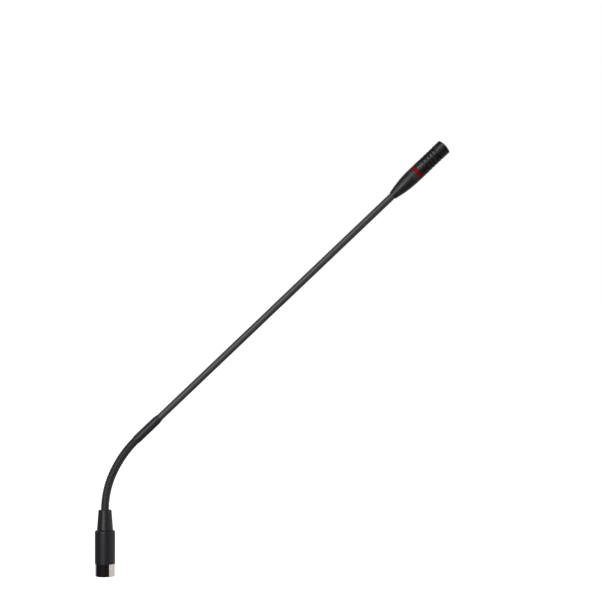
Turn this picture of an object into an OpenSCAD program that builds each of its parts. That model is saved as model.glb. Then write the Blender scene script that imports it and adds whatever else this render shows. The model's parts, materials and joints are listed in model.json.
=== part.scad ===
// Gooseneck podium microphone on a three-pin audio plug.
// Origin: centre of the plug nose's lower face. +Z runs up the plug; the neck leans towards +X.

/* [Plug] */
// Outer diameter of the plug nose
nose_od = 18.9; // [18.8:0.1:19]
// Length of the nose below the sleeve
nose_len = 12; // [11.8:0.1:14.5]
// Diameter of the space inside the nose
nose_bore_d = 16.2; // [15.9:0.1:16.4]
// Diameter of a contact pin
pin_d = 2.4; // [2.3:0.05:2.5]
// Sideways offset of contact pins 1 and 2
pin_x = 3.81; // [3.7:0.01:3.9]

/* [Sleeve and bush] */
// Outer diameter of the connector sleeve
sleeve_od = 19.5; // [19.4:0.1:19.8]
// Length of the connector sleeve
sleeve_len = 32; // [31.5:0.1:34]
// Lower diameter of the tapered neck bush
bush_low_d = 15.5; // [15:0.1:15.8]
// Upper diameter of the tapered neck bush
bush_top_d = 12.7; // [12.2:0.1:13]
// Height of the tapered part of the neck bush
bush_len = 18.9; // [18.5:0.1:20]

/* [Flexible neck] */
// Outer diameter of the coiled neck
neck_od = 8; // [7.8:0.05:8]
// Distance from one turn of the coil to the next
coil_pitch = 2.4; // [2.4:0.01:2.42]
// Lean of the stem away from vertical
lean = 46.4; // [44:0.1:48]
// Bend radius of the lower half of the neck
lower_bend_r = 84.6; // [84:0.1:90]
// Bend radius of the upper half of the neck
upper_bend_r = 105.3; // [105:0.1:112]

/* [Stem] */
// Outer diameter of the rigid stem tube
tube_od = 6.8; // [6.6:0.05:6.85]
// Visible length of the stem tube between coupling and head
tube_show = 307.9; // [200:0.1:400]
// Outer diameter of the coupling that joins neck and tube
coupling_od = 8.5; // [8.4:0.05:8.9]
// Length of that coupling
coupling_len = 31.3; // [30:0.1:36]

/* [Head] */
// Outer diameter of the slotted capsule housing
housing_od = 14.96; // [14.9:0.02:15.2]
// Length of the capsule housing
housing_len = 34.2; // [33.5:0.1:36]
// Outer diameter of the light ring and of the head shell's wide end
ring_od = 14.84; // [14.8:0.02:14.9]
// Visible length of the light ring
ring_len = 3.5; // [3:0.05:4]
// Number of slot rows
slot_rows = 5; // [3:1:5]
// Distance between slot rows
slot_pitch = 3.8; // [3.6:0.05:3.85]
// Width of a slot
slot_w = 1.3; // [1.2:0.05:1.6]

/* [Hidden] */
$fn = 64;
EPS = 0.01;
FIT = 0.03;
EDGE = 0.15;

BLACK = [0.07, 0.07, 0.08];
DARK = [0.12, 0.12, 0.13];
NICKEL = [0.78, 0.77, 0.75];
STEEL = [0.62, 0.63, 0.65];
GOLD = [0.83, 0.66, 0.30];
RUBBER = [0.05, 0.05, 0.05];
BOARD = [0.05, 0.26, 0.14];
RED = [0.50, 0.03, 0.05];
WIRE = [0.72, 0.12, 0.10];

// Plug, measured up from the nose's lower face
nose_r = nose_od / 2;
nose_bore_r = nose_bore_d / 2;
lip_edge = 0.4;
insert_z = nose_len - 0.5;
insert_h = 6;
ledge_z = insert_z + insert_h;
ledge_h = 1.2;
ledge_r = nose_bore_r - 0.8;
skirt_z = nose_len + 12.5;
skirt_r = 8.75;
skirt_bore_r = 7.9;
latch_w = 3.6;
latch_h = 3.4;
latch_z = 6.4;
key_w = 1.6;
key_y = 7;
key_z = 1.2;
pin_r = pin_d / 2;
pin_tip_z = 1;
pin_collar_r = 1.5;
cup_r = 1.3;
cup_z = insert_z + 10.5;
PINS = [[-pin_x, 1.27], [pin_x, 1.27], [0, -3.81]];
insert_screw_z = nose_len + 2.5;
insert_screw_r = 1.2;
insert_screw_head_r = 1.7;

// Sleeve and what it holds
sleeve_r = sleeve_od / 2;
sleeve_bore_r = skirt_r + 0.05;
sleeve_top = nose_len + sleeve_len;
sleeve_roof = 2.2;
sleeve_edge = 2;
liner_r = sleeve_bore_r - 0.15;
liner_wall = 0.4;
liner_h = 13.2;
board_w = 16.2;
board_t = 1;
board_h = 9.6;
board_z = skirt_z;
lead_r = 0.35;
board_y = PINS[0][1] - lead_r - board_t;

// Neck bush and its fixings
groove_r = bush_low_d / 2 - 0.35;
groove_h = 0.5;
bush_z = sleeve_top + groove_h;
bush_top = bush_z + bush_len;
bush_edge = 0.7;
bush_mouth_r = neck_od / 2 + 0.15;
spigot_r = 6.9;
spigot_z = sleeve_top - 5.6;
nut_h = 3;
nut_r = 8.6;
fitting_r = 4.6;
fitting_flange_r = 5.9;
fitting_flange_h = 1.2;
fitting_top = bush_top - 3;
grub_r = 1.5;
grub_z = bush_z + 9.9;
grub_y = 6.5;

// Neck: two arcs in the XZ plane, each turning through half of the lean
half_lean = lean / 2;
RAD = PI / 180;
lower_arc = lower_bend_r * half_lean * RAD;
upper_arc = upper_bend_r * half_lean * RAD;
neck_arc = lower_arc + upper_arc;
LINKS = 10;
LINK_TURNS = 3;
link_len = LINK_TURNS * coil_pitch;
first_hinge = 3.1;
coil_wire_r = 0.75;
coil_r = neck_od / 2 - coil_wire_r;
core_r = 3;
core_bore_r = 1.9;
link_gap = 1;
cable_r = 1.2;

// Stem: u is the distance along its axis from the coupling's mouth
mouth_back = 1.9;
tube_r = tube_od / 2;
tube_bore_r = tube_r - 0.6;
tail_r = 2.8;
tail_bore_r = 1.7;
tail_len = 12;
tube_u = tail_len + 0.6;
head_u = coupling_len + tube_show;
coupling_r = coupling_od / 2;
coupling_mouth_r = neck_od / 2 + 0.06;
coupling_flare = 2.6;
coupling_taper = 4.4;
coupling_end_r = tube_r + 0.2;
tube_in_head = 8;
head_screw_r = 1;
head_screw_h = 4;
head_screw_y = 4.5;

// Head: h is the distance along the axis from the head's narrow end
ring_r = ring_od / 2;
head_small_r = 4.05;
cone_len = 6.5;
cone_slope = 0.2;
shell_len = 30.65;
cone_top_r = head_small_r + cone_len * cone_slope;
ogive_r = (ring_r - cone_top_r) / (1 - cos(atan(cone_slope)));
ogive_len = ogive_r * sin(atan(cone_slope));
shell_bore_r = 6.3;
ring_bore_r = 5.3;
ring_spigot = 3;
housing_h = shell_len + ring_len;
housing_r = housing_od / 2;
housing_top = housing_h + housing_len;
housing_bore_r = 7.1;
first_slot = housing_h + 8.7;
SLOTS_ROUND = 6;
slot_angle = 48;
slot_turn = -66;
mesh_r = housing_bore_r - 0.05;
mesh_wall = 0.2;
dome_rise = 1.6;
dome_edge = 0.3;
dome_edge_r = housing_r - dome_edge;
dome_r = (dome_edge_r * dome_edge_r + dome_rise * dome_rise) / (2 * dome_rise);
dome_wall = 0.7;
grille_hole_r = 0.45;
grille_step = 1.55;
GRILLE_RINGS = 3;
capsule_r = 4.85;
capsule_len = 5.5;
capsule_h = housing_top - 8.4;
boot_r = mesh_r - mesh_wall - 0.05;
led_board_t = 0.8;
led_board_h = shell_len - ring_spigot - led_board_t - 0.25;
cable_end_h = led_board_h - 4.6;
cable_foot = board_z + board_h + 0.5;
CABLE_SIDES = 12;
CABLE_BENDS = 20;

// The axis at distance s above the bush: straight below it, curved up the neck, straight
// again along the stem. These give its lean and its place.
function axis_lean(s) = s < 0 ? 0
    : s < lower_arc ? s / lower_bend_r / RAD
    : s < neck_arc ? half_lean + (s - lower_arc) / upper_bend_r / RAD
    : lean;

function axis_x(s) = s < lower_arc ? lower_bend_r * (1 - cos(axis_lean(s)))
    : lower_bend_r * (1 - cos(half_lean)) + upper_bend_r * (cos(half_lean) - cos(axis_lean(s)))
        + max(0, s - neck_arc) * sin(lean);

function axis_z(s) = s < 0 ? bush_top + s
    : s < lower_arc ? bush_top + lower_bend_r * sin(axis_lean(s))
    : bush_top + lower_bend_r * sin(half_lean)
        + upper_bend_r * (sin(axis_lean(s)) - sin(half_lean)) + max(0, s - neck_arc) * cos(lean);

// Stand the children on the axis at distance s above the bush
module along_neck(s) {
    translate([axis_x(s), 0, axis_z(s)]) rotate([0, axis_lean(s), 0]) children();
}

// Stand the children on the stem's axis at distance u from the coupling's mouth
module along_stem(u) {
    translate([axis_x(neck_arc), 0, axis_z(neck_arc)]) rotate([0, lean, 0])
        translate([0, 0, u - mouth_back]) children();
}

// Stand the children on the head's axis at distance h from its narrow end
module along_head(h) {
    along_stem(head_u + h) children();
}

module tube(r_out, r_in, h) {
    difference() {
        cylinder(r = r_out, h = h);
        translate([0, 0, -EPS]) cylinder(r = r_in, h = h + 2 * EPS);
    }
}

// Grub screw lying along +Y, its outer face at the origin, with a hexagon socket
module grub(r, len) {
    rotate([90, 0, 0]) difference() {
        cylinder(r = r, h = len);
        translate([0, 0, -EPS]) cylinder(r = r * 0.55, h = len * 0.5, $fn = 6);
    }
}

module xlr_shell() {
    color(NICKEL) {
        difference() {
            rotate_extrude() polygon([
                [nose_bore_r + lip_edge, 0], [nose_r - lip_edge, 0], [nose_r, lip_edge],
                [nose_r, nose_len], [skirt_r, nose_len], [skirt_r, skirt_z],
                [skirt_bore_r, skirt_z], [skirt_bore_r, ledge_z + ledge_h],
                [ledge_r, ledge_z + ledge_h], [ledge_r, ledge_z], [nose_bore_r, ledge_z],
                [nose_bore_r, lip_edge]
            ]);
            translate([-latch_w / 2, nose_bore_r - 1, latch_z - latch_h / 2])
                cube([latch_w, 4, latch_h]);
            translate([0, sleeve_r, insert_screw_z]) rotate([90, 0, 0])
                cylinder(r = insert_screw_r + FIT, h = 3);
        }
        translate([-key_w / 2, -nose_bore_r - 0.3, key_z])
            cube([key_w, nose_bore_r + 0.3 - key_y, insert_z - key_z]);
    }
}

module xlr_insert() {
    color(BLACK) difference() {
        union() {
            translate([0, 0, insert_z]) cylinder(r = nose_bore_r - FIT, h = insert_h);
            translate([0, 0, ledge_z]) cylinder(r = ledge_r - FIT, h = ledge_h);
        }
        for (p = PINS)
            translate([p[0], p[1], insert_z - 1]) cylinder(r = pin_collar_r + FIT, h = insert_h + 4);
        translate([0, sleeve_r, insert_screw_z]) rotate([90, 0, 0])
            cylinder(r = insert_screw_r + FIT, h = 4.5);
    }
}

// Contact pin with a rounded tip, a collar in the insert and a solder cup behind
module contact_pin(p) {
    color(GOLD) translate([p[0], p[1], 0]) difference() {
        rotate_extrude() polygon([
            [0, pin_tip_z], [pin_r * 0.5, pin_tip_z], [pin_r * 0.83, pin_tip_z + 0.25],
            [pin_r, pin_tip_z + 0.8], [pin_r, insert_z], [pin_collar_r, insert_z],
            [pin_collar_r, ledge_z + ledge_h], [cup_r, ledge_z + ledge_h], [cup_r, cup_z],
            [0, cup_z]
        ]);
        translate([0, 0, cup_z - 2.5]) cylinder(r = cup_r - 0.4, h = 3);
    }
}

module insert_screw() {
    color(STEEL) translate([0, sleeve_r - 0.1, insert_screw_z]) rotate([90, 0, 0]) difference() {
        union() {
            cylinder(r = insert_screw_head_r, h = sleeve_r - 0.1 - skirt_r);
            cylinder(r = insert_screw_r, h = 4.2);
        }
        translate([0, 0, -EPS]) cylinder(r = 0.7, h = 1, $fn = 6);
    }
}

module connector_sleeve() {
    color(BLACK) difference() {
        rotate_extrude() difference() {
            union() {
                translate([spigot_r + FIT, nose_len])
                    square([sleeve_r - sleeve_edge - spigot_r - FIT, sleeve_len]);
                polygon([
                    [spigot_r + FIT, nose_len], [sleeve_r - EDGE, nose_len],
                    [sleeve_r, nose_len + EDGE], [sleeve_r, sleeve_top - sleeve_edge],
                    [spigot_r + FIT, sleeve_top - sleeve_edge]
                ]);
                translate([sleeve_r - sleeve_edge, sleeve_top - sleeve_edge])
                    intersection() {
                        circle(sleeve_edge);
                        square(sleeve_edge);
                    }
            }
            translate([0, nose_len - EPS])
                square([sleeve_bore_r, sleeve_len - sleeve_roof + EPS]);
        }
        translate([0, sleeve_r + 1, insert_screw_z]) rotate([90, 0, 0])
            cylinder(r = insert_screw_head_r + FIT, h = 3);
    }
}

module insulating_liner() {
    color(DARK) translate([0, 0, skirt_z]) tube(liner_r, liner_r - liner_wall, liner_h);
}

module preamp_board() {
    color(BOARD) translate([-board_w / 2, board_y, board_z]) cube([board_w, board_t, board_h]);
}

module board_capacitors() {
    color(DARK) for (x = [-4.2, 4.2])
        translate([x, board_y, board_z + 6.4]) rotate([90, 0, 0]) cylinder(r = 2, h = 4.2);
}

module board_chips() {
    color(BLACK) {
        translate([-2, board_y + board_t, board_z + 4.4]) cube([4, 1.3, 3.2]);
        for (x = [-6.4, 4.6])
            translate([x, board_y + board_t, board_z + 5]) cube([1.8, 0.9, 1.4]);
    }
}

// Straight round wire from point a to point b
module wire(a, b, r) {
    d = b - a;
    translate(a) rotate([0, acos(d[2] / norm(d)), atan2(d[1], d[0])])
        cylinder(r = r, h = norm(d), $fn = 24);
}

// Wire with a round end at b
module lead(a, b, r) {
    wire(a, b, r);
    translate(b) sphere(r = r, $fn = 24);
}

module pin_leads() {
    bend_z = cup_z + 1.2;
    pad_z = board_z + 2.4;
    foot_z = cup_z - 2.2;
    front_y = board_y - lead_r;
    color(WIRE) {
        for (i = [0, 1])
            lead([PINS[i][0], PINS[i][1], foot_z], [PINS[i][0], PINS[i][1], pad_z], lead_r);
        lead([0, PINS[2][1], foot_z], [0, PINS[2][1], bend_z], lead_r);
        lead([0, PINS[2][1], bend_z], [0, front_y, bend_z], lead_r);
        lead([0, front_y, bend_z], [0, front_y, pad_z], lead_r);
    }
}

module cable_tails() {
    color(WIRE) for (x = [-0.6, 0.6])
        lead([x, board_y - 0.3, cable_foot], [x, board_y - 0.3, cable_foot - 2.4], 0.3);
}

module cable_clamp() {
    color(STEEL) translate([0, 0, cable_foot + 0.4]) tube(2.2, cable_r + FIT, 1.6);
}

module neck_bush() {
    low_r = bush_low_d / 2;
    top_r = bush_top_d / 2;
    color(BLACK) difference() {
        rotate_extrude() polygon([
            [fitting_r + FIT, spigot_z], [spigot_r, spigot_z], [spigot_r, sleeve_top],
            [groove_r, sleeve_top], [groove_r, bush_z], [low_r - EDGE, bush_z],
            [low_r, bush_z + EDGE],
            [top_r, bush_top - bush_edge], [top_r - bush_edge * 0.3, bush_top - bush_edge * 0.3],
            [top_r - bush_edge, bush_top], [bush_mouth_r, bush_top],
            [bush_mouth_r, fitting_top], [fitting_r + FIT, fitting_top]
        ]);
        translate([0, low_r, grub_z]) rotate([90, 0, 0]) cylinder(r = grub_r + FIT, h = low_r - 3);
    }
}

module bush_lock_nut() {
    color(STEEL) translate([0, 0, sleeve_top - sleeve_roof - nut_h]) difference() {
        cylinder(r = nut_r, h = nut_h, $fn = 6);
        translate([0, 0, -EPS]) cylinder(r = spigot_r + FIT, h = nut_h + 2 * EPS);
    }
}

module neck_end_fitting() {
    bore_r = neck_od / 2 + FIT;
    flange_z = spigot_z - fitting_flange_h;
    color(STEEL) rotate_extrude() polygon([
        [bore_r, flange_z], [fitting_flange_r, flange_z],
        [fitting_flange_r, spigot_z - FIT], [fitting_r, spigot_z - FIT],
        [fitting_r, fitting_top], [bore_r, fitting_top]
    ]);
}

module neck_set_screw() {
    color(STEEL) translate([0, grub_y, grub_z]) grub(grub_r, grub_y - fitting_r - FIT);
}

// Round turns of the neck's outer wire on its bored core, standing on z = 0
module coil_stack(turns) {
    core_len = turns * coil_pitch - link_gap;
    rotate_extrude() {
        translate([core_bore_r, link_gap / 2]) square([core_r - core_bore_r, core_len]);
        for (i = [0 : turns - 1])
            translate([coil_r, (i + 0.5) * coil_pitch]) circle(coil_wire_r, $fn = 32);
    }
}

// Part of the neck from hinge k to hinge k + 1
module neck_link(k) {
    color(DARK) along_neck(first_hinge + (k + 0.5) * link_len)
        translate([0, 0, -link_len / 2]) coil_stack(LINK_TURNS);
}

// Lowest part of the neck, held in the bush up to the first hinge
module neck_foot() {
    turns = 8;
    color(DARK) along_neck(0) translate([0, 0, first_hinge - turns * coil_pitch]) coil_stack(turns);
}

// Highest part of the neck, with a smooth tail that the coupling grips
module neck_head() {
    last_hinge = first_hinge + (LINKS - 1) * link_len;
    exposed = neck_arc - mouth_back - last_hinge;
    turns = floor((exposed - coil_wire_r) / coil_pitch + 0.5);
    color(DARK) {
        along_neck(last_hinge + exposed / 2) translate([0, 0, -exposed / 2]) rotate_extrude() {
            translate([core_bore_r, link_gap / 2])
                square([core_r - core_bore_r, exposed - link_gap / 2 - 0.3]);
            for (i = [0 : turns - 1])
                translate([coil_r, (i + 0.5) * coil_pitch]) circle(coil_wire_r, $fn = 32);
        }
        along_stem(-0.5) tube(tail_r, tail_bore_r, tail_len + 0.5);
    }
}

module tube_coupling() {
    seat_u = tube_u - 0.1;
    color(BLACK) along_stem(0) rotate_extrude() polygon([
        [tail_r + FIT, 0], [coupling_mouth_r, 0], [coupling_r, coupling_flare],
        [coupling_r, coupling_len - coupling_taper], [coupling_end_r, coupling_len],
        [tube_r + FIT, coupling_len], [tube_r + FIT, seat_u], [tail_r + FIT, seat_u]
    ]);
}

module stem_tube() {
    color(BLACK) along_stem(tube_u) tube(tube_r, tube_bore_r, head_u + tube_in_head - tube_u);
}

module tube_grommet() {
    color(RUBBER) {
        along_head(tube_in_head - 2.4) tube(tube_bore_r - FIT, cable_r + FIT, 2.4);
        along_head(tube_in_head) tube(tube_r - 0.1, cable_r + FIT, 0.6);
    }
}

// Outline of the head shell: a short cone, then an arc that runs into a plain cylinder
module shell_outline() {
    difference() {
        union() {
            polygon([
                [tube_r + FIT, 0], [head_small_r, 0], [cone_top_r, cone_len], [tube_r + FIT, cone_len]
            ]);
            intersection() {
                translate([ring_r - ogive_r, cone_len + ogive_len]) circle(ogive_r, $fn = 360);
                translate([tube_r + FIT, cone_len]) square([ring_r, ogive_len]);
            }
            polygon([
                [tube_r + FIT, cone_len + ogive_len], [ring_r, cone_len + ogive_len],
                [ring_r, shell_len - EDGE], [ring_r - EDGE, shell_len], [tube_r + FIT, shell_len]
            ]);
        }
        polygon([
            [tube_r, 10], [tube_r + FIT, 10], [5.2, 15], [shell_bore_r, 21],
            [shell_bore_r, shell_len + 1], [tube_r, shell_len + 1]
        ]);
    }
}

module head_shell() {
    color(BLACK) along_head(0) difference() {
        rotate_extrude() shell_outline();
        translate([0, 6, head_screw_h]) rotate([90, 0, 0]) cylinder(r = head_screw_r + FIT, h = 4);
    }
}

module head_set_screw() {
    color(STEEL) along_head(head_screw_h) translate([0, head_screw_y, 0])
        grub(head_screw_r, head_screw_y - tube_r - FIT);
}

module led_board() {
    color(BOARD) along_head(led_board_h) tube(shell_bore_r - 0.1, 2, led_board_t);
}

module led_chips() {
    color(RED) along_head(led_board_h + led_board_t) for (a = [45 : 90 : 315])
        rotate([0, 0, a]) translate([3.8, -0.8, 0]) cube([1.2, 1.6, 0.7]);
}

module led_ring() {
    rear_spigot = shell_bore_r - FIT;
    front_spigot = housing_bore_r - FIT;
    back = shell_len - ring_spigot;
    front = housing_h + ring_spigot;
    color(RED) along_head(0) rotate_extrude() polygon([
        [ring_bore_r, back], [rear_spigot, back], [rear_spigot, shell_len],
        [ring_r - EDGE, shell_len],
        [ring_r, shell_len + EDGE], [ring_r, housing_h - EDGE], [ring_r - EDGE, housing_h],
        [front_spigot, housing_h], [front_spigot, front], [ring_bore_r, front]
    ]);
}

// One slot cutter: a wedge of a flat ring
module slot_cutter() {
    rotate_extrude(angle = slot_angle) translate([housing_bore_r - 1, -slot_w / 2])
        square([3, slot_w]);
}

module capsule_housing() {
    color(BLACK) difference() {
        along_head(0) rotate_extrude() polygon([
            [housing_bore_r, housing_h], [housing_r - EDGE, housing_h],
            [housing_r, housing_h + EDGE], [housing_r, housing_top - dome_edge],
            [dome_edge_r, housing_top], [housing_bore_r, housing_top]
        ]);
        for (row = [0 : slot_rows - 1], i = [0 : SLOTS_ROUND - 1])
            along_head(first_slot + row * slot_pitch)
                rotate([0, 0, slot_turn - slot_angle / 2 + i * 360 / SLOTS_ROUND]) slot_cutter();
    }
}

module acoustic_mesh() {
    color(DARK) along_head(housing_h + ring_spigot + 0.2)
        tube(mesh_r, mesh_r - mesh_wall, housing_len - ring_spigot - 6.5);
}

// Domed end cap with a spigot and rings of sound holes
module end_grille() {
    spigot_len = 2;
    spigot_bore_r = housing_bore_r - 0.6;
    color(BLACK) along_head(housing_top) difference() {
        union() {
            intersection() {
                translate([0, 0, dome_rise - dome_r]) sphere(dome_r, $fn = 128);
                cylinder(r = dome_edge_r, h = dome_rise + 1);
            }
            translate([0, 0, -spigot_len]) cylinder(r = housing_bore_r - FIT, h = spigot_len + EPS);
        }
        translate([0, 0, -spigot_len - EPS]) cylinder(r = spigot_bore_r, h = spigot_len + 2 * EPS);
        intersection() {
            translate([0, 0, dome_rise - dome_r]) sphere(dome_r - dome_wall, $fn = 128);
            cylinder(r = spigot_bore_r, h = dome_rise);
        }
        for (ring = [0 : GRILLE_RINGS], i = [0 : max(0, 6 * ring - 1)])
            rotate([0, 0, ring == 0 ? 0 : i * 60 / ring]) translate([ring * grille_step, 0, -1])
                cylinder(r = grille_hole_r, h = dome_rise + 2, $fn = 24);
    }
}

module foam_disc() {
    color(RUBBER) along_head(housing_top - 2.3) cylinder(r = housing_bore_r - 0.7, h = 2.2);
}

module capsule() {
    color(STEEL) along_head(capsule_h) difference() {
        cylinder(r = capsule_r, h = capsule_len);
        translate([0, 0, capsule_len - 0.3]) cylinder(r = capsule_r - 0.7, h = 1);
        for (a = [0 : 60 : 300])
            rotate([0, 0, a]) translate([2, 0, capsule_len - 1]) cylinder(r = 0.4, h = 2, $fn = 24);
    }
}

module capsule_boot() {
    color(RUBBER) along_head(capsule_h) tube(boot_r, capsule_r + FIT, capsule_len);
}

module capsule_terminals() {
    color(GOLD) along_head(capsule_h - 0.3) for (x = [-1.3, 1.3])
        translate([x, 0, 0]) cylinder(r = 0.9, h = 0.3);
}

module head_leads() {
    pad_h = led_board_h - lead_r;
    color(WIRE) along_head(0) {
        for (x = [-1, 1])
            wire([0.7 * x, 0, cable_end_h], [1.3 * x, 0, capsule_h - 0.3], 0.3);
        for (y = [-1, 1])
            wire([0, 0.8 * y, cable_end_h + 0.2], [0, 3.2 * y, pad_h], 0.3);
    }
}

// Cable from the preamplifier, up the neck and the stem, to the head
module signal_cable() {
    stations = [
        cable_foot - bush_top, for (i = [0 : CABLE_BENDS]) i * neck_arc / CABLE_BENDS,
        neck_arc - mouth_back + head_u + cable_end_h
    ];
    points = [
        for (s = stations, i = [0 : CABLE_SIDES - 1]) let (
            a = i * 360 / CABLE_SIDES,
            across = cable_r * cos(a),
            tilt = axis_lean(s)
        ) [axis_x(s) + across * cos(tilt), cable_r * sin(a), axis_z(s) - across * sin(tilt)]
    ];
    last = CABLE_SIDES * (len(stations) - 1);
    faces = [
        [for (i = [0 : CABLE_SIDES - 1]) i],
        for (ring = [0 : CABLE_SIDES : last - 1], i = [0 : CABLE_SIDES - 1])
            let (next = (i + 1) % CABLE_SIDES)
                [ring + i, ring + CABLE_SIDES + i, ring + CABLE_SIDES + next, ring + next],
        [for (i = [CABLE_SIDES - 1 : -1 : 0]) last + i]
    ];
    color(RUBBER) polyhedron(points, faces);
}

xlr_shell();
xlr_insert();
contact_pin(PINS[0]);  // contact_pin_1
contact_pin(PINS[1]);  // contact_pin_2
contact_pin(PINS[2]);  // contact_pin_3
insert_screw();
connector_sleeve();
insulating_liner();
preamp_board();
board_capacitors();
board_chips();
pin_leads();
cable_tails();
cable_clamp();
neck_bush();
bush_lock_nut();
neck_end_fitting();
neck_set_screw();
neck_foot();  // neck_coil_00
neck_link(0);  // neck_coil_01
neck_link(1);  // neck_coil_02
neck_link(2);  // neck_coil_03
neck_link(3);  // neck_coil_04
neck_link(4);  // neck_coil_05
neck_link(5);  // neck_coil_06
neck_link(6);  // neck_coil_07
neck_link(7);  // neck_coil_08
neck_link(8);  // neck_coil_09
neck_head();  // neck_coil_10
tube_coupling();
stem_tube();
tube_grommet();
head_shell();
head_set_screw();
led_board();
led_chips();
led_ring();
capsule_housing();
acoustic_mesh();
end_grille();
foam_disc();
capsule();
capsule_boot();
capsule_terminals();
head_leads();
signal_cable();
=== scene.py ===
"""Looks of a gooseneck podium microphone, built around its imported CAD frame. Metres."""
import json
import math

import bpy
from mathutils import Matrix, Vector


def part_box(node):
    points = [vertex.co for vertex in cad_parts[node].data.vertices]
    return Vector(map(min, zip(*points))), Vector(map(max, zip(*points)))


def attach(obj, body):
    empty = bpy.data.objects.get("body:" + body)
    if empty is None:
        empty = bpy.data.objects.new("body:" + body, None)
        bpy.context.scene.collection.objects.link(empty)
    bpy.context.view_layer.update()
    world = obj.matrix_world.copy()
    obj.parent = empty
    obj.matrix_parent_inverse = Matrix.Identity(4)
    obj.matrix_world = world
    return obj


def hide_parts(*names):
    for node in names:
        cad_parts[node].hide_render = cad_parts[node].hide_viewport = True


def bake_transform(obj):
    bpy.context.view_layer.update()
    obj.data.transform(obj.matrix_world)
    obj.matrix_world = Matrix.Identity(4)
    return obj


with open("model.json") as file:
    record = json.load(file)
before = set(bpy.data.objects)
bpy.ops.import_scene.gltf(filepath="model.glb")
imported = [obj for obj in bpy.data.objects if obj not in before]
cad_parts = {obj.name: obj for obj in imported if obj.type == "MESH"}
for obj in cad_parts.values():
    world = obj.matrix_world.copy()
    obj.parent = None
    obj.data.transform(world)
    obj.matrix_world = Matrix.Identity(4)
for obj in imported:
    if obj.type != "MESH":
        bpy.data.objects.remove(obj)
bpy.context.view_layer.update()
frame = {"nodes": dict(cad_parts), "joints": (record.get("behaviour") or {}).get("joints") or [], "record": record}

MM = 0.001
ROOT = "plug_and_bush"
STEM = "stem_and_head"

# The neck's axis: two arcs in the XZ plane, each turning through half of the stem's lean
LEAN = math.radians(46.4)
LOWER_BEND_R = 84.6 * MM
UPPER_BEND_R = 105.3 * MM
BUSH_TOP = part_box("neck_bush")[1].z
LOWER_ARC = LOWER_BEND_R * LEAN / 2
NECK_ARC = LOWER_ARC + UPPER_BEND_R * LEAN / 2

# The neck's coil; distances along the axis start at the bush's top
NECK_FOOT = -15.5 * MM
FIRST_HINGE = 3.1 * MM
NECK_TAIL = 75.2 * MM
COIL_PITCH = 2.4 * MM
LINK_LEN = 3 * COIL_PITCH
NECK_R = 4.05 * MM
WIRE_R = 0.85 * MM
FILLER_R = 3.72 * MM
LINING_R = 2.7 * MM
LINING_STEP = 1.2 * MM
TURN_STEPS = 36


# ---- The neck's axis ------------------------------------------------------------------


def axis_lean(s):
    """Lean from vertical at distance s from the bush's top."""
    if s < LOWER_ARC:
        return max(0.0, s) / LOWER_BEND_R
    return min(LEAN, LEAN / 2 + (s - LOWER_ARC) / UPPER_BEND_R)


def axis_point(s):
    """Point on the axis, which is straight below the bush's top and beyond the two arcs."""
    lean = axis_lean(s)
    if s < LOWER_ARC:
        x = LOWER_BEND_R * (1 - math.cos(lean))
        return Vector((x, 0, BUSH_TOP + LOWER_BEND_R * math.sin(lean) + min(0, s)))
    half = LEAN / 2
    past = max(0.0, s - NECK_ARC)
    x = LOWER_BEND_R * (1 - math.cos(half)) + UPPER_BEND_R * (math.cos(half) - math.cos(lean))
    z = BUSH_TOP + LOWER_BEND_R * math.sin(half) + UPPER_BEND_R * (math.sin(lean) - math.sin(half))
    return Vector((x + past * math.sin(LEAN), 0, z + past * math.cos(LEAN)))


def axis_frame(s):
    """The axis point at s with the directions across it, to the side of it and along it."""
    lean = axis_lean(s)
    across = Vector((math.cos(lean), 0, -math.sin(lean)))
    along = Vector((math.sin(lean), 0, math.cos(lean)))
    return axis_point(s), across, Vector((0, 1, 0)), along


# ---- Mesh helpers ---------------------------------------------------------------------


class Shell:
    """Collects closed swept solids and makes one mesh object of them."""

    def __init__(self, name):
        self.name = name
        self.points = []
        self.faces = []

    def add_rings(self, rings):
        """Adds the rings' points, and returns where each ring starts and how many points it has."""
        first = len(self.points)
        count = len(rings[0])
        for ring in rings:
            self.points.extend(ring)
        return [first + r * count for r in range(len(rings))], count

    def join(self, here, there, count):
        """Adds the faces between the rings that start at the points here and there."""
        for i in range(count):
            j = (i + 1) % count
            self.faces.append([here + i, here + j, there + j, there + i])

    def sweep(self, rings):
        """Adds the closed solid through rings of points, each ring the same length."""
        starts, count = self.add_rings(rings)
        self.faces.append([starts[0] + i for i in reversed(range(count))])
        for here, there in zip(starts, starts[1:]):
            self.join(here, there, count)
        self.faces.append([starts[-1] + i for i in range(count)])

    def loop(self, rings):
        """Adds a solid whose last ring joins its first, such as a hoop."""
        starts, count = self.add_rings(rings)
        for here, there in zip(starts, starts[1:] + starts[:1]):
            self.join(here, there, count)

    def object(self, material):
        """Makes the mesh object, smooth along its sweeps and flat on their ends."""
        mesh = bpy.data.meshes.new(self.name)
        mesh.from_pydata([tuple(p) for p in self.points], [], self.faces)
        mesh.validate()
        mesh.update()
        mesh.materials.append(material)
        mesh.polygons.foreach_set("use_smooth", [len(p.vertices) == 4 for p in mesh.polygons])
        made = bpy.data.objects.new(self.name, mesh)
        bpy.context.scene.collection.objects.link(made)
        return made


def circle(radius, sides):
    """Points spaced evenly round a circle, as (a, b)."""
    return [
        (radius * math.cos(2 * math.pi * i / sides), radius * math.sin(2 * math.pi * i / sides))
        for i in range(sides)
    ]


def axis_rod(shell, start, end, radius, sides, steps):
    """Adds a round rod that follows the neck's axis from start to end."""
    rings = []
    for step in range(steps + 1):
        centre, across, side, _ = axis_frame(start + (end - start) * step / steps)
        rings.append([centre + across * a + side * b for a, b in circle(radius, sides)])
    shell.sweep(rings)


# ---- Materials ------------------------------------------------------------------------


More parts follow.
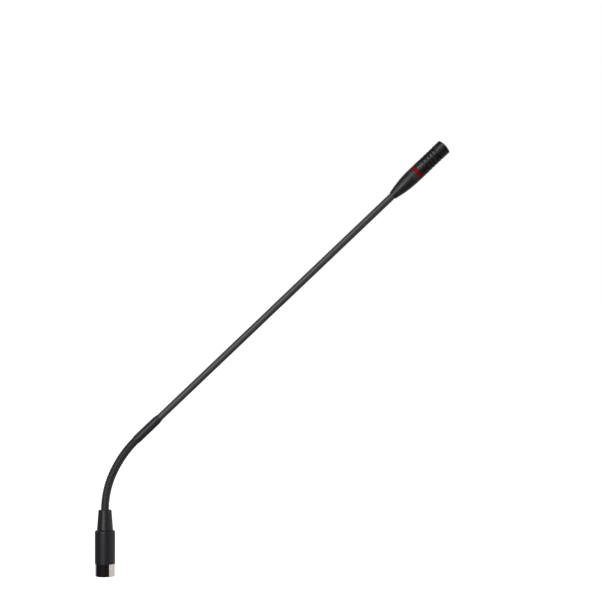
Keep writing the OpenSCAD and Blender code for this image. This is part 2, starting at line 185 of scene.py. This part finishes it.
def new_material(name):
    """A material with a Principled shader, as (material, node tree, shader)."""
    made = bpy.data.materials.new(name)
    made.use_nodes = True
    tree = made.node_tree
    return made, tree, tree.nodes["Principled BSDF"]


def noise(tree, feature, detail=4.0, stretch=(1, 1, 1)):
    """Noise whose features are about the given size in metres, on object coordinates."""
    coords = tree.nodes.new("ShaderNodeTexCoord")
    mapping = tree.nodes.new("ShaderNodeMapping")
    mapping.inputs["Scale"].default_value = stretch
    texture = tree.nodes.new("ShaderNodeTexNoise")
    texture.inputs["Scale"].default_value = 1 / feature
    texture.inputs["Detail"].default_value = detail
    tree.links.new(coords.outputs["Object"], mapping.inputs["Vector"])
    tree.links.new(mapping.outputs["Vector"], texture.inputs["Vector"])
    return texture.outputs["Fac"]


def spread(tree, value, low, high, start=0.3, end=0.7):
    """Maps value from start..end to low..high."""
    node = tree.nodes.new("ShaderNodeMapRange")
    node.inputs["From Min"].default_value = start
    node.inputs["From Max"].default_value = end
    node.inputs["To Min"].default_value = low
    node.inputs["To Max"].default_value = high
    tree.links.new(value, node.inputs["Value"])
    return node.outputs["Result"]


def mix_colour(tree, factor, first, second):
    """Colour that goes from first to second as factor goes from 0 to 1."""
    node = tree.nodes.new("ShaderNodeMix")
    node.data_type = "RGBA"
    tree.links.new(factor, node.inputs["Factor"])
    for socket, colour in ((node.inputs[6], first), (node.inputs[7], second)):
        if isinstance(colour, tuple):
            socket.default_value = (*colour, 1)
        else:
            tree.links.new(colour, socket)
    return node.outputs[2]


def bump(tree, shader, height, depth, strength=1.0):
    """Bumps the shader's normal by height, depth metres from low to high."""
    node = tree.nodes.new("ShaderNodeBump")
    node.inputs["Distance"].default_value = depth
    node.inputs["Strength"].default_value = strength
    tree.links.new(height, node.inputs["Height"])
    tree.links.new(node.outputs["Normal"], shader.inputs["Normal"])


def wear(tree):
    """1 on sharp outer edges and 0 elsewhere, broken up by noise."""
    geometry = tree.nodes.new("ShaderNodeNewGeometry")
    edge = spread(tree, geometry.outputs["Pointiness"], 0, 1, start=0.56, end=0.66)
    patches = spread(tree, noise(tree, 1.5 * MM), 0, 1, start=0.45, end=0.65)
    product = tree.nodes.new("ShaderNodeMath")
    product.operation = "MULTIPLY"
    tree.links.new(edge, product.inputs[0])
    tree.links.new(patches, product.inputs[1])
    return product.outputs["Value"]


RUBBED_EDGE = (0.08, 0.08, 0.085)


def coated_metal(name, colour, roughness, grain_depth, level=0.5):
    """Painted or anodised metal: fine grain, slow tone changes, uneven gloss and rubbed edges."""
    made, tree, shader = new_material(name)
    tone = spread(tree, noise(tree, 9 * MM, detail=5), 0, 1)
    lighter = tuple(c * 1.16 for c in colour)
    base = mix_colour(tree, tone, colour, lighter)
    tree.links.new(mix_colour(tree, wear(tree), base, RUBBED_EDGE), shader.inputs["Base Color"])
    gloss = spread(tree, noise(tree, 2 * MM, detail=6), roughness - 0.02, roughness + 0.03)
    tree.links.new(gloss, shader.inputs["Roughness"])
    shader.inputs["Specular IOR Level"].default_value = level
    bump(tree, shader, noise(tree, 0.14 * MM, detail=3), grain_depth)
    return made


def plated_metal(name, colour, roughness, stretch=(1, 1, 1)):
    """Bare or plated metal: cloudy gloss and fine scratches, which stretch can turn into brushing."""
    made, tree, shader = new_material(name)
    shader.inputs["Metallic"].default_value = 1.0
    tone = spread(tree, noise(tree, 5 * MM), 0, 1)
    darker = tuple(c * 0.86 for c in colour)
    tree.links.new(mix_colour(tree, tone, colour, darker), shader.inputs["Base Color"])
    gloss = spread(tree, noise(tree, 1.2 * MM, detail=6), roughness - 0.03, roughness + 0.06)
    tree.links.new(gloss, shader.inputs["Roughness"])
    scratches = noise(tree, 0.5 * MM, detail=5, stretch=stretch)
    bump(tree, shader, scratches, depth=0.02 * MM, strength=0.35)
    return made


def moulded_plastic(name, colour, roughness, grain=0.35 * MM, grain_depth=0.03 * MM, level=0.5):
    """Moulded plastic or rubber: soft grain and faint flow marks."""
    made, tree, shader = new_material(name)
    tone = spread(tree, noise(tree, 6 * MM, detail=3), 0, 1)
    lighter = tuple(min(1.0, c * 1.3 + 0.003) for c in colour)
    tree.links.new(mix_colour(tree, tone, colour, lighter), shader.inputs["Base Color"])
    gloss = spread(tree, noise(tree, 1.5 * MM), roughness - 0.05, roughness + 0.06)
    tree.links.new(gloss, shader.inputs["Roughness"])
    shader.inputs["Specular IOR Level"].default_value = level
    bump(tree, shader, noise(tree, grain), grain_depth)
    return made


BRUSHED_ALONG = (1, 1, 0.05)
TURNED_ROUND = (1, 1, 6)
FINE_GRAIN = 0.01 * MM
COAT_GRAIN = 0.012 * MM

MATERIALS = {
    "nickel_shell": plated_metal("nickel_plate", (0.86, 0.79, 0.775), 0.06, BRUSHED_ALONG),
    "black_insert": moulded_plastic("insert_plastic", (0.018, 0.018, 0.019), 0.45),
    "contact_gold": plated_metal("contact_plate", (0.86, 0.62, 0.25), 0.18, BRUSHED_ALONG),
    "steel_fixing": plated_metal("turned_steel", (0.55, 0.56, 0.58), 0.28, TURNED_ROUND),
    "black_sleeve": coated_metal("sleeve_coat", (0.022, 0.0205, 0.0245), 0.41, COAT_GRAIN, level=0.4),
    "black_bush": coated_metal("bush_coat", (0.024, 0.0225, 0.025), 0.40, COAT_GRAIN, level=0.42),
    "neck_wire": coated_metal("neck_coat", (0.040, 0.038, 0.042), 0.42, FINE_GRAIN),
    "black_coupling": coated_metal("coupling_coat", (0.034, 0.032, 0.036), 0.46, COAT_GRAIN, level=0.36),
    "black_stem": coated_metal("stem_coat", (0.073, 0.068, 0.071), 0.43, COAT_GRAIN, level=0.44),
    "black_head": coated_metal("head_coat", (0.022, 0.021, 0.024), 0.43, FINE_GRAIN, level=0.42),
    "black_housing": coated_metal("housing_coat", (0.006, 0.0055, 0.0065), 0.37, FINE_GRAIN, level=0.55),
    "black_grille": coated_metal("grille_coat", (0.009, 0.009, 0.010), 0.36, FINE_GRAIN),
    "dark_mesh": plated_metal("mesh_wire", (0.035, 0.035, 0.037), 0.4),
    "red_ring": moulded_plastic("ring_plastic", (0.22, 0.001, 0.005), 0.45, 0.5 * MM, FINE_GRAIN, level=0.1),
    "led_lens": moulded_plastic("lens_plastic", (0.6, 0.06, 0.04), 0.15, 0.3 * MM, FINE_GRAIN),
    "board_green": moulded_plastic("solder_resist", (0.01, 0.09, 0.035), 0.32, 0.5 * MM, 0.02 * MM),
    "chip_black": moulded_plastic("chip_plastic", (0.015, 0.015, 0.016), 0.5),
    "capacitor_can": plated_metal("capacitor_metal", (0.75, 0.76, 0.78), 0.25),
    "capsule_can": plated_metal("capsule_metal", (0.78, 0.78, 0.80), 0.22),
    "clear_liner": moulded_plastic("liner_film", (0.10, 0.085, 0.05), 0.3),
    "lead_red": moulded_plastic("lead_plastic", (0.45, 0.02, 0.015), 0.4, 0.3 * MM, FINE_GRAIN),
    "cable_jacket": moulded_plastic("jacket_plastic", (0.012, 0.012, 0.012), 0.55),
    "black_rubber": moulded_plastic("boot_rubber", (0.012, 0.012, 0.012), 0.65),
    "black_foam": moulded_plastic("foam", (0.012, 0.012, 0.012), 0.9, 0.25 * MM, 0.2 * MM),
}

for part in frame["record"]["subparts"]:
    cad_mesh = frame["nodes"][part["node"]].data
    cad_mesh.materials.clear()
    cad_mesh.materials.append(MATERIALS[part["material_slot"]])


# ---- The flexible neck ----------------------------------------------------------------


def coil_turns(shell, start, end, profile, offset):
    """Adds a helix from start to end, moved up by offset; its section is (outward, along) points."""
    steps = max(2, round((end - start) / COIL_PITCH * TURN_STEPS))
    rings = []
    for step in range(steps + 1):
        s = start + (end - start) * step / steps
        turn = 2 * math.pi * ((s - FIRST_HINGE) / COIL_PITCH)
        centre, across, side, along = axis_frame(s + offset)
        outward = across * math.cos(turn) + side * math.sin(turn)
        rings.append([centre + outward * out + along * up for out, up in profile])
    shell.sweep(rings)


def round_wire():
    """Section of the round wire."""
    centre = NECK_R - WIRE_R
    return [(centre + out, up) for out, up in circle(WIRE_R, sides=12)]


def filler_wire():
    """Section of the wedge between the round wire's turns, its rounded broad side outwards."""
    half_width = 0.46 * MM
    crown_rise = 0.22 * MM
    wedge_depth = 0.95 * MM
    root_half_width = 0.2 * MM
    crown_steps = 6
    shoulder = FILLER_R - crown_rise
    turns = [math.pi * i / crown_steps for i in range(crown_steps + 1)]
    crown = [(shoulder + crown_rise * math.sin(t), -half_width * math.cos(t)) for t in turns]
    root = FILLER_R - wedge_depth
    return [(root, root_half_width), (root, -root_half_width), *crown]


def neck_piece(name, start, end):
    """The neck's round wire, filler wire and dark lining between two distances up the axis."""
    shell = Shell(name)
    coil_turns(shell, start, end, round_wire(), offset=0)
    coil_turns(shell, start, end, filler_wire(), offset=COIL_PITCH / 2)
    steps = max(2, round((end - start) / LINING_STEP))
    axis_rod(shell, start, end, LINING_R, sides=32, steps=steps)
    made = shell.object(MATERIALS["neck_wire"])
    return made


def middle_of_link(k):
    """Distance up the axis of the middle of link k, just below hinge k."""
    return FIRST_HINGE + (k - 0.5) * LINK_LEN


hinges = len(frame["joints"])

foot = neck_piece("neck_coil_foot", NECK_FOOT, middle_of_link(0))
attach(foot, ROOT)
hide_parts("neck_coil_00")
for k in range(hinges):
    start, end = middle_of_link(k), middle_of_link(k + 1)
    bend = neck_piece(f"neck_coil_bend_{k + 1:02d}", start, end)
    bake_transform(bend)
    if k < hinges - 1:
        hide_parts(f"neck_coil_{k + 1:02d}")
tail = neck_piece("neck_coil_tail", middle_of_link(hinges), NECK_TAIL)
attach(tail, STEM)
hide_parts("neck_coil_10")


# ---- The signal cable inside the neck and stem ----------------------------------------

CABLE_R = 1.2 * MM


def cable_piece(name, start, end, steps):
    """The cable between two distances up the axis."""
    shell = Shell(name)
    axis_rod(shell, start, end, CABLE_R, sides=16, steps=steps)
    made = shell.object(MATERIALS["cable_jacket"])
    return made


cable_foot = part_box("signal_cable")[0].z - BUSH_TOP
stem_start = axis_point(NECK_ARC)
cable_tip_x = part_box("signal_cable")[1].x - CABLE_R * math.cos(LEAN)
cable_end = NECK_ARC + (cable_tip_x - stem_start.x) / math.sin(LEAN)
lower_cable = cable_piece("signal_cable_foot", cable_foot, middle_of_link(0), steps=12)
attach(lower_cable, ROOT)
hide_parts("signal_cable")
for k in range(hinges):
    start, end = middle_of_link(k), middle_of_link(k + 1)
    bend = cable_piece(f"signal_cable_bend_{k + 1:02d}", start, end, steps=6)
    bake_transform(bend)
upper_cable = cable_piece("signal_cable_run", middle_of_link(hinges), cable_end, steps=60)
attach(upper_cable, STEM)


# ---- The woven mesh behind the slots ---------------------------------------------------

MESH_WIRE_R = 0.09 * MM
MESH_WIRE_SIDES = 5
WIRES_AROUND = 60
WIRE_ROWS = 36

mesh_low, mesh_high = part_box("acoustic_mesh")
mesh_middle = (mesh_low + mesh_high) / 2
mesh_r = (mesh_high.y - mesh_low.y) / 2
mesh_len = (mesh_high.x - mesh_low.x - 2 * mesh_r * math.cos(LEAN)) / math.sin(LEAN)
STEM_ACROSS = Vector((math.cos(LEAN), 0, -math.sin(LEAN)))
STEM_SIDE = Vector((0, 1, 0))
STEM_ALONG = Vector((math.sin(LEAN), 0, math.cos(LEAN)))


def mesh_point(turn, along, radius):
    """Point inside the head, at a turn in radians round its axis and a distance along it."""
    outward = STEM_ACROSS * math.cos(turn) + STEM_SIDE * math.sin(turn)
    return mesh_middle + outward * radius + STEM_ALONG * along


def woven_wire(shell, path, closed):
    """Adds a thin wire along path, a list of (turn, along, radius); a closed one is a hoop."""
    section = circle(MESH_WIRE_R, MESH_WIRE_SIDES)
    if closed:
        shell.loop([
            [mesh_point(turn, along + b, radius + a) for a, b in section]
            for turn, along, radius in path
        ])
    else:
        shell.sweep([
            [mesh_point(turn + b / radius, along, radius + a) for a, b in section]
            for turn, along, radius in path
        ])


# Where a lengthwise wire passes over a hoop, the hoop passes under it, and the next ones swap
weave = Shell("acoustic_mesh_weave")
weave_r = mesh_r - 2 * MESH_WIRE_R
row_pitch = (mesh_len - 2 * MESH_WIRE_R) / WIRE_ROWS
for wire in range(WIRES_AROUND):
    turn = 2 * math.pi * wire / WIRES_AROUND
    path = []
    for half in range(2 * WIRE_ROWS + 1):
        lift = math.sin(math.pi * half / 2) * (-1) ** wire
        along = (half - WIRE_ROWS) * row_pitch / 2
        path.append((turn, along, weave_r + lift * MESH_WIRE_R))
    woven_wire(weave, path, False)
for row in range(WIRE_ROWS):
    along = (row + 0.5 - WIRE_ROWS / 2) * row_pitch
    path = []
    for half in range(2 * WIRES_AROUND):
        lift = -math.cos(math.pi * half / 2) * (-1) ** row
        path.append((math.pi * half / WIRES_AROUND, along, weave_r + lift * MESH_WIRE_R))
    woven_wire(weave, path, True)
weave_piece = weave.object(MATERIALS["dark_mesh"])
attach(weave_piece, STEM)
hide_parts("acoustic_mesh")

# Thin black cloth lines the mesh, whose wires reach two wire radii in from weave_r
CLOTH_T = 0.12 * MM
CLOTH_SIDES = 64
cloth_r = weave_r - 2.1 * MESH_WIRE_R
cloth_edge = mesh_len / 2 - 2 * MESH_WIRE_R
cloth_section = [
    (cloth_r - CLOTH_T, -cloth_edge),
    (cloth_r, -cloth_edge),
    (cloth_r, cloth_edge),
    (cloth_r - CLOTH_T, cloth_edge),
]
cloth = Shell("acoustic_cloth")
cloth.loop([
    [mesh_point(2 * math.pi * i / CLOTH_SIDES, along, radius) for radius, along in cloth_section]
    for i in range(CLOTH_SIDES)
])
cloth_piece = cloth.object(MATERIALS["black_foam"])
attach(cloth_piece, STEM)


# ---- Stage ----------------------------------------------------------------------------

# The camera is level and looks along +Y
VIEW_CENTRE = Vector((187.6 * MM, 0, 263.3 * MM))
CAMERA_BACK = 1.8
SENSOR = 36
VIEW_WIDTH = 0.5762

camera_data = bpy.data.cameras.new("camera")
camera_data.sensor_width = SENSOR
camera_data.lens = SENSOR * CAMERA_BACK / VIEW_WIDTH
camera_data.clip_end = 300
camera = bpy.data.objects.new("camera", camera_data)
camera.location = VIEW_CENTRE + Vector((0, -CAMERA_BACK, 0))
camera.rotation_euler = (math.pi / 2, 0, 0)
bpy.context.scene.collection.objects.link(camera)
bpy.context.scene.camera = camera
bpy.context.scene.view_settings.view_transform = "Standard"


def soft_light(name, place, aim, size, radiance):
    """A white rectangular soft light at place, turned towards aim."""
    data = bpy.data.lights.new(name, "AREA")
    data.shape = "RECTANGLE"
    data.size, data.size_y = size
    data.energy = radiance * size[0] * size[1] * math.pi
    lamp = bpy.data.objects.new(name, data)
    lamp.location = place
    lamp.rotation_euler = (Vector(aim) - Vector(place)).to_track_quat("-Z", "Y").to_euler()
    lamp.visible_camera = False
    bpy.context.scene.collection.objects.link(lamp)


MIDDLE = (0.17, 0, 0.22)
BESIDE_NECK = (0.05, 0, 0.10)
soft_light("key", (-0.45, -1.10, 1.17), MIDDLE, size=(0.7, 0.7), radiance=3.7)
soft_light("front_strip", (-0.52, -1.68, 0.50), BESIDE_NECK, size=(0.78, 0.8), radiance=8.3)

world = bpy.data.worlds.new("studio")
bpy.context.scene.world = world
world.use_nodes = True
sky = world.node_tree


def sky_math(operation, *values):
    """A math node in the world, on numbers or sockets."""
    node = sky.nodes.new("ShaderNodeMath")
    node.operation = operation
    for socket, value in zip(node.inputs, values):
        if isinstance(value, (int, float)):
            socket.default_value = value
        else:
            sky.links.new(value, socket)
    return node.outputs["Value"]


def sky_step(value, start, end):
    """Goes smoothly from 0 at start to 1 at end."""
    node = sky.nodes.new("ShaderNodeMapRange")
    node.interpolation_type = "SMOOTHSTEP"
    node.inputs["From Min"].default_value = start
    node.inputs["From Max"].default_value = end
    sky.links.new(value, node.inputs["Value"])
    return node.outputs["Result"]


# White paper stands to the right of the object and behind it, with a pale table below on that
# side; the room is dark elsewhere. Azimuth is 0 towards the front and grows to the right.
ROOM_LIGHT = 0.012
PAPER_LIGHT = 0.68
TABLE_SHARE = 0.5
direction = sky.nodes.new("ShaderNodeSeparateXYZ")
sky.links.new(sky.nodes.new("ShaderNodeTexCoord").outputs["Generated"], direction.inputs["Vector"])
right, back, up = direction.outputs
azimuth = sky_math("ARCTAN2", right, sky_math("MULTIPLY", back, -1))
paper_right = sky_step(azimuth, math.radians(53), math.radians(58))
paper_left = sky_step(azimuth, math.radians(-119), math.radians(-125))
around = sky_math("MAXIMUM", paper_right, paper_left)
above_floor = sky_step(up, -0.45, -0.25)
below_roof = sky_step(up, 0.75, 0.55)
behind = sky_step(back, 0.55, 0.75)
height = sky_math("MAXIMUM", sky_math("MULTIPLY", above_floor, below_roof), behind)
sheets = sky_math("MULTIPLY", around, height)
table_right = sky_step(azimuth, math.radians(72), math.radians(97))
table = sky_math("MULTIPLY", sky_step(up, -0.3, -0.5), table_right)
paper = sky_math("MAXIMUM", sheets, sky_math("MULTIPLY", table, TABLE_SHARE))
studio_light = sky_math("MULTIPLY_ADD", paper, PAPER_LIGHT, ROOM_LIGHT)
seen = sky.nodes.new("ShaderNodeLightPath").outputs["Is Camera Ray"]
background = sky.nodes["Background"]
background.inputs["Color"].default_value = (1, 1, 1, 1)
sky.links.new(sky_math("MAXIMUM", studio_light, seen), background.inputs["Strength"])

FLOOR_HALF = 100.0
FLOOR_Z = -0.06
floor_mesh = bpy.data.meshes.new("floor")
corners = [(-1, -1), (1, -1), (1, 1), (-1, 1)]
floor_mesh.from_pydata([(x * FLOOR_HALF, y * FLOOR_HALF, FLOOR_Z) for x, y in corners], [], [range(4)])
floor_paint, floor_tree, floor_shader = new_material("floor_paper")
floor_shader.inputs["Roughness"].default_value = 0.9
floor_tone = spread(floor_tree, noise(floor_tree, 0.4, 2), 0, 1)
floor_colour = mix_colour(floor_tree, floor_tone, (0.93, 0.93, 0.93), (0.97, 0.97, 0.97))
floor_tree.links.new(floor_colour, floor_shader.inputs["Base Color"])
floor_shader.inputs["Emission Color"].default_value = (1, 1, 1, 1)
floor_shader.inputs["Emission Strength"].default_value = 1.0
floor_mesh.materials.append(floor_paint)
floor = bpy.data.objects.new("floor", floor_mesh)
floor.visible_glossy = False
floor.visible_diffuse = False
bpy.context.scene.collection.objects.link(floor)
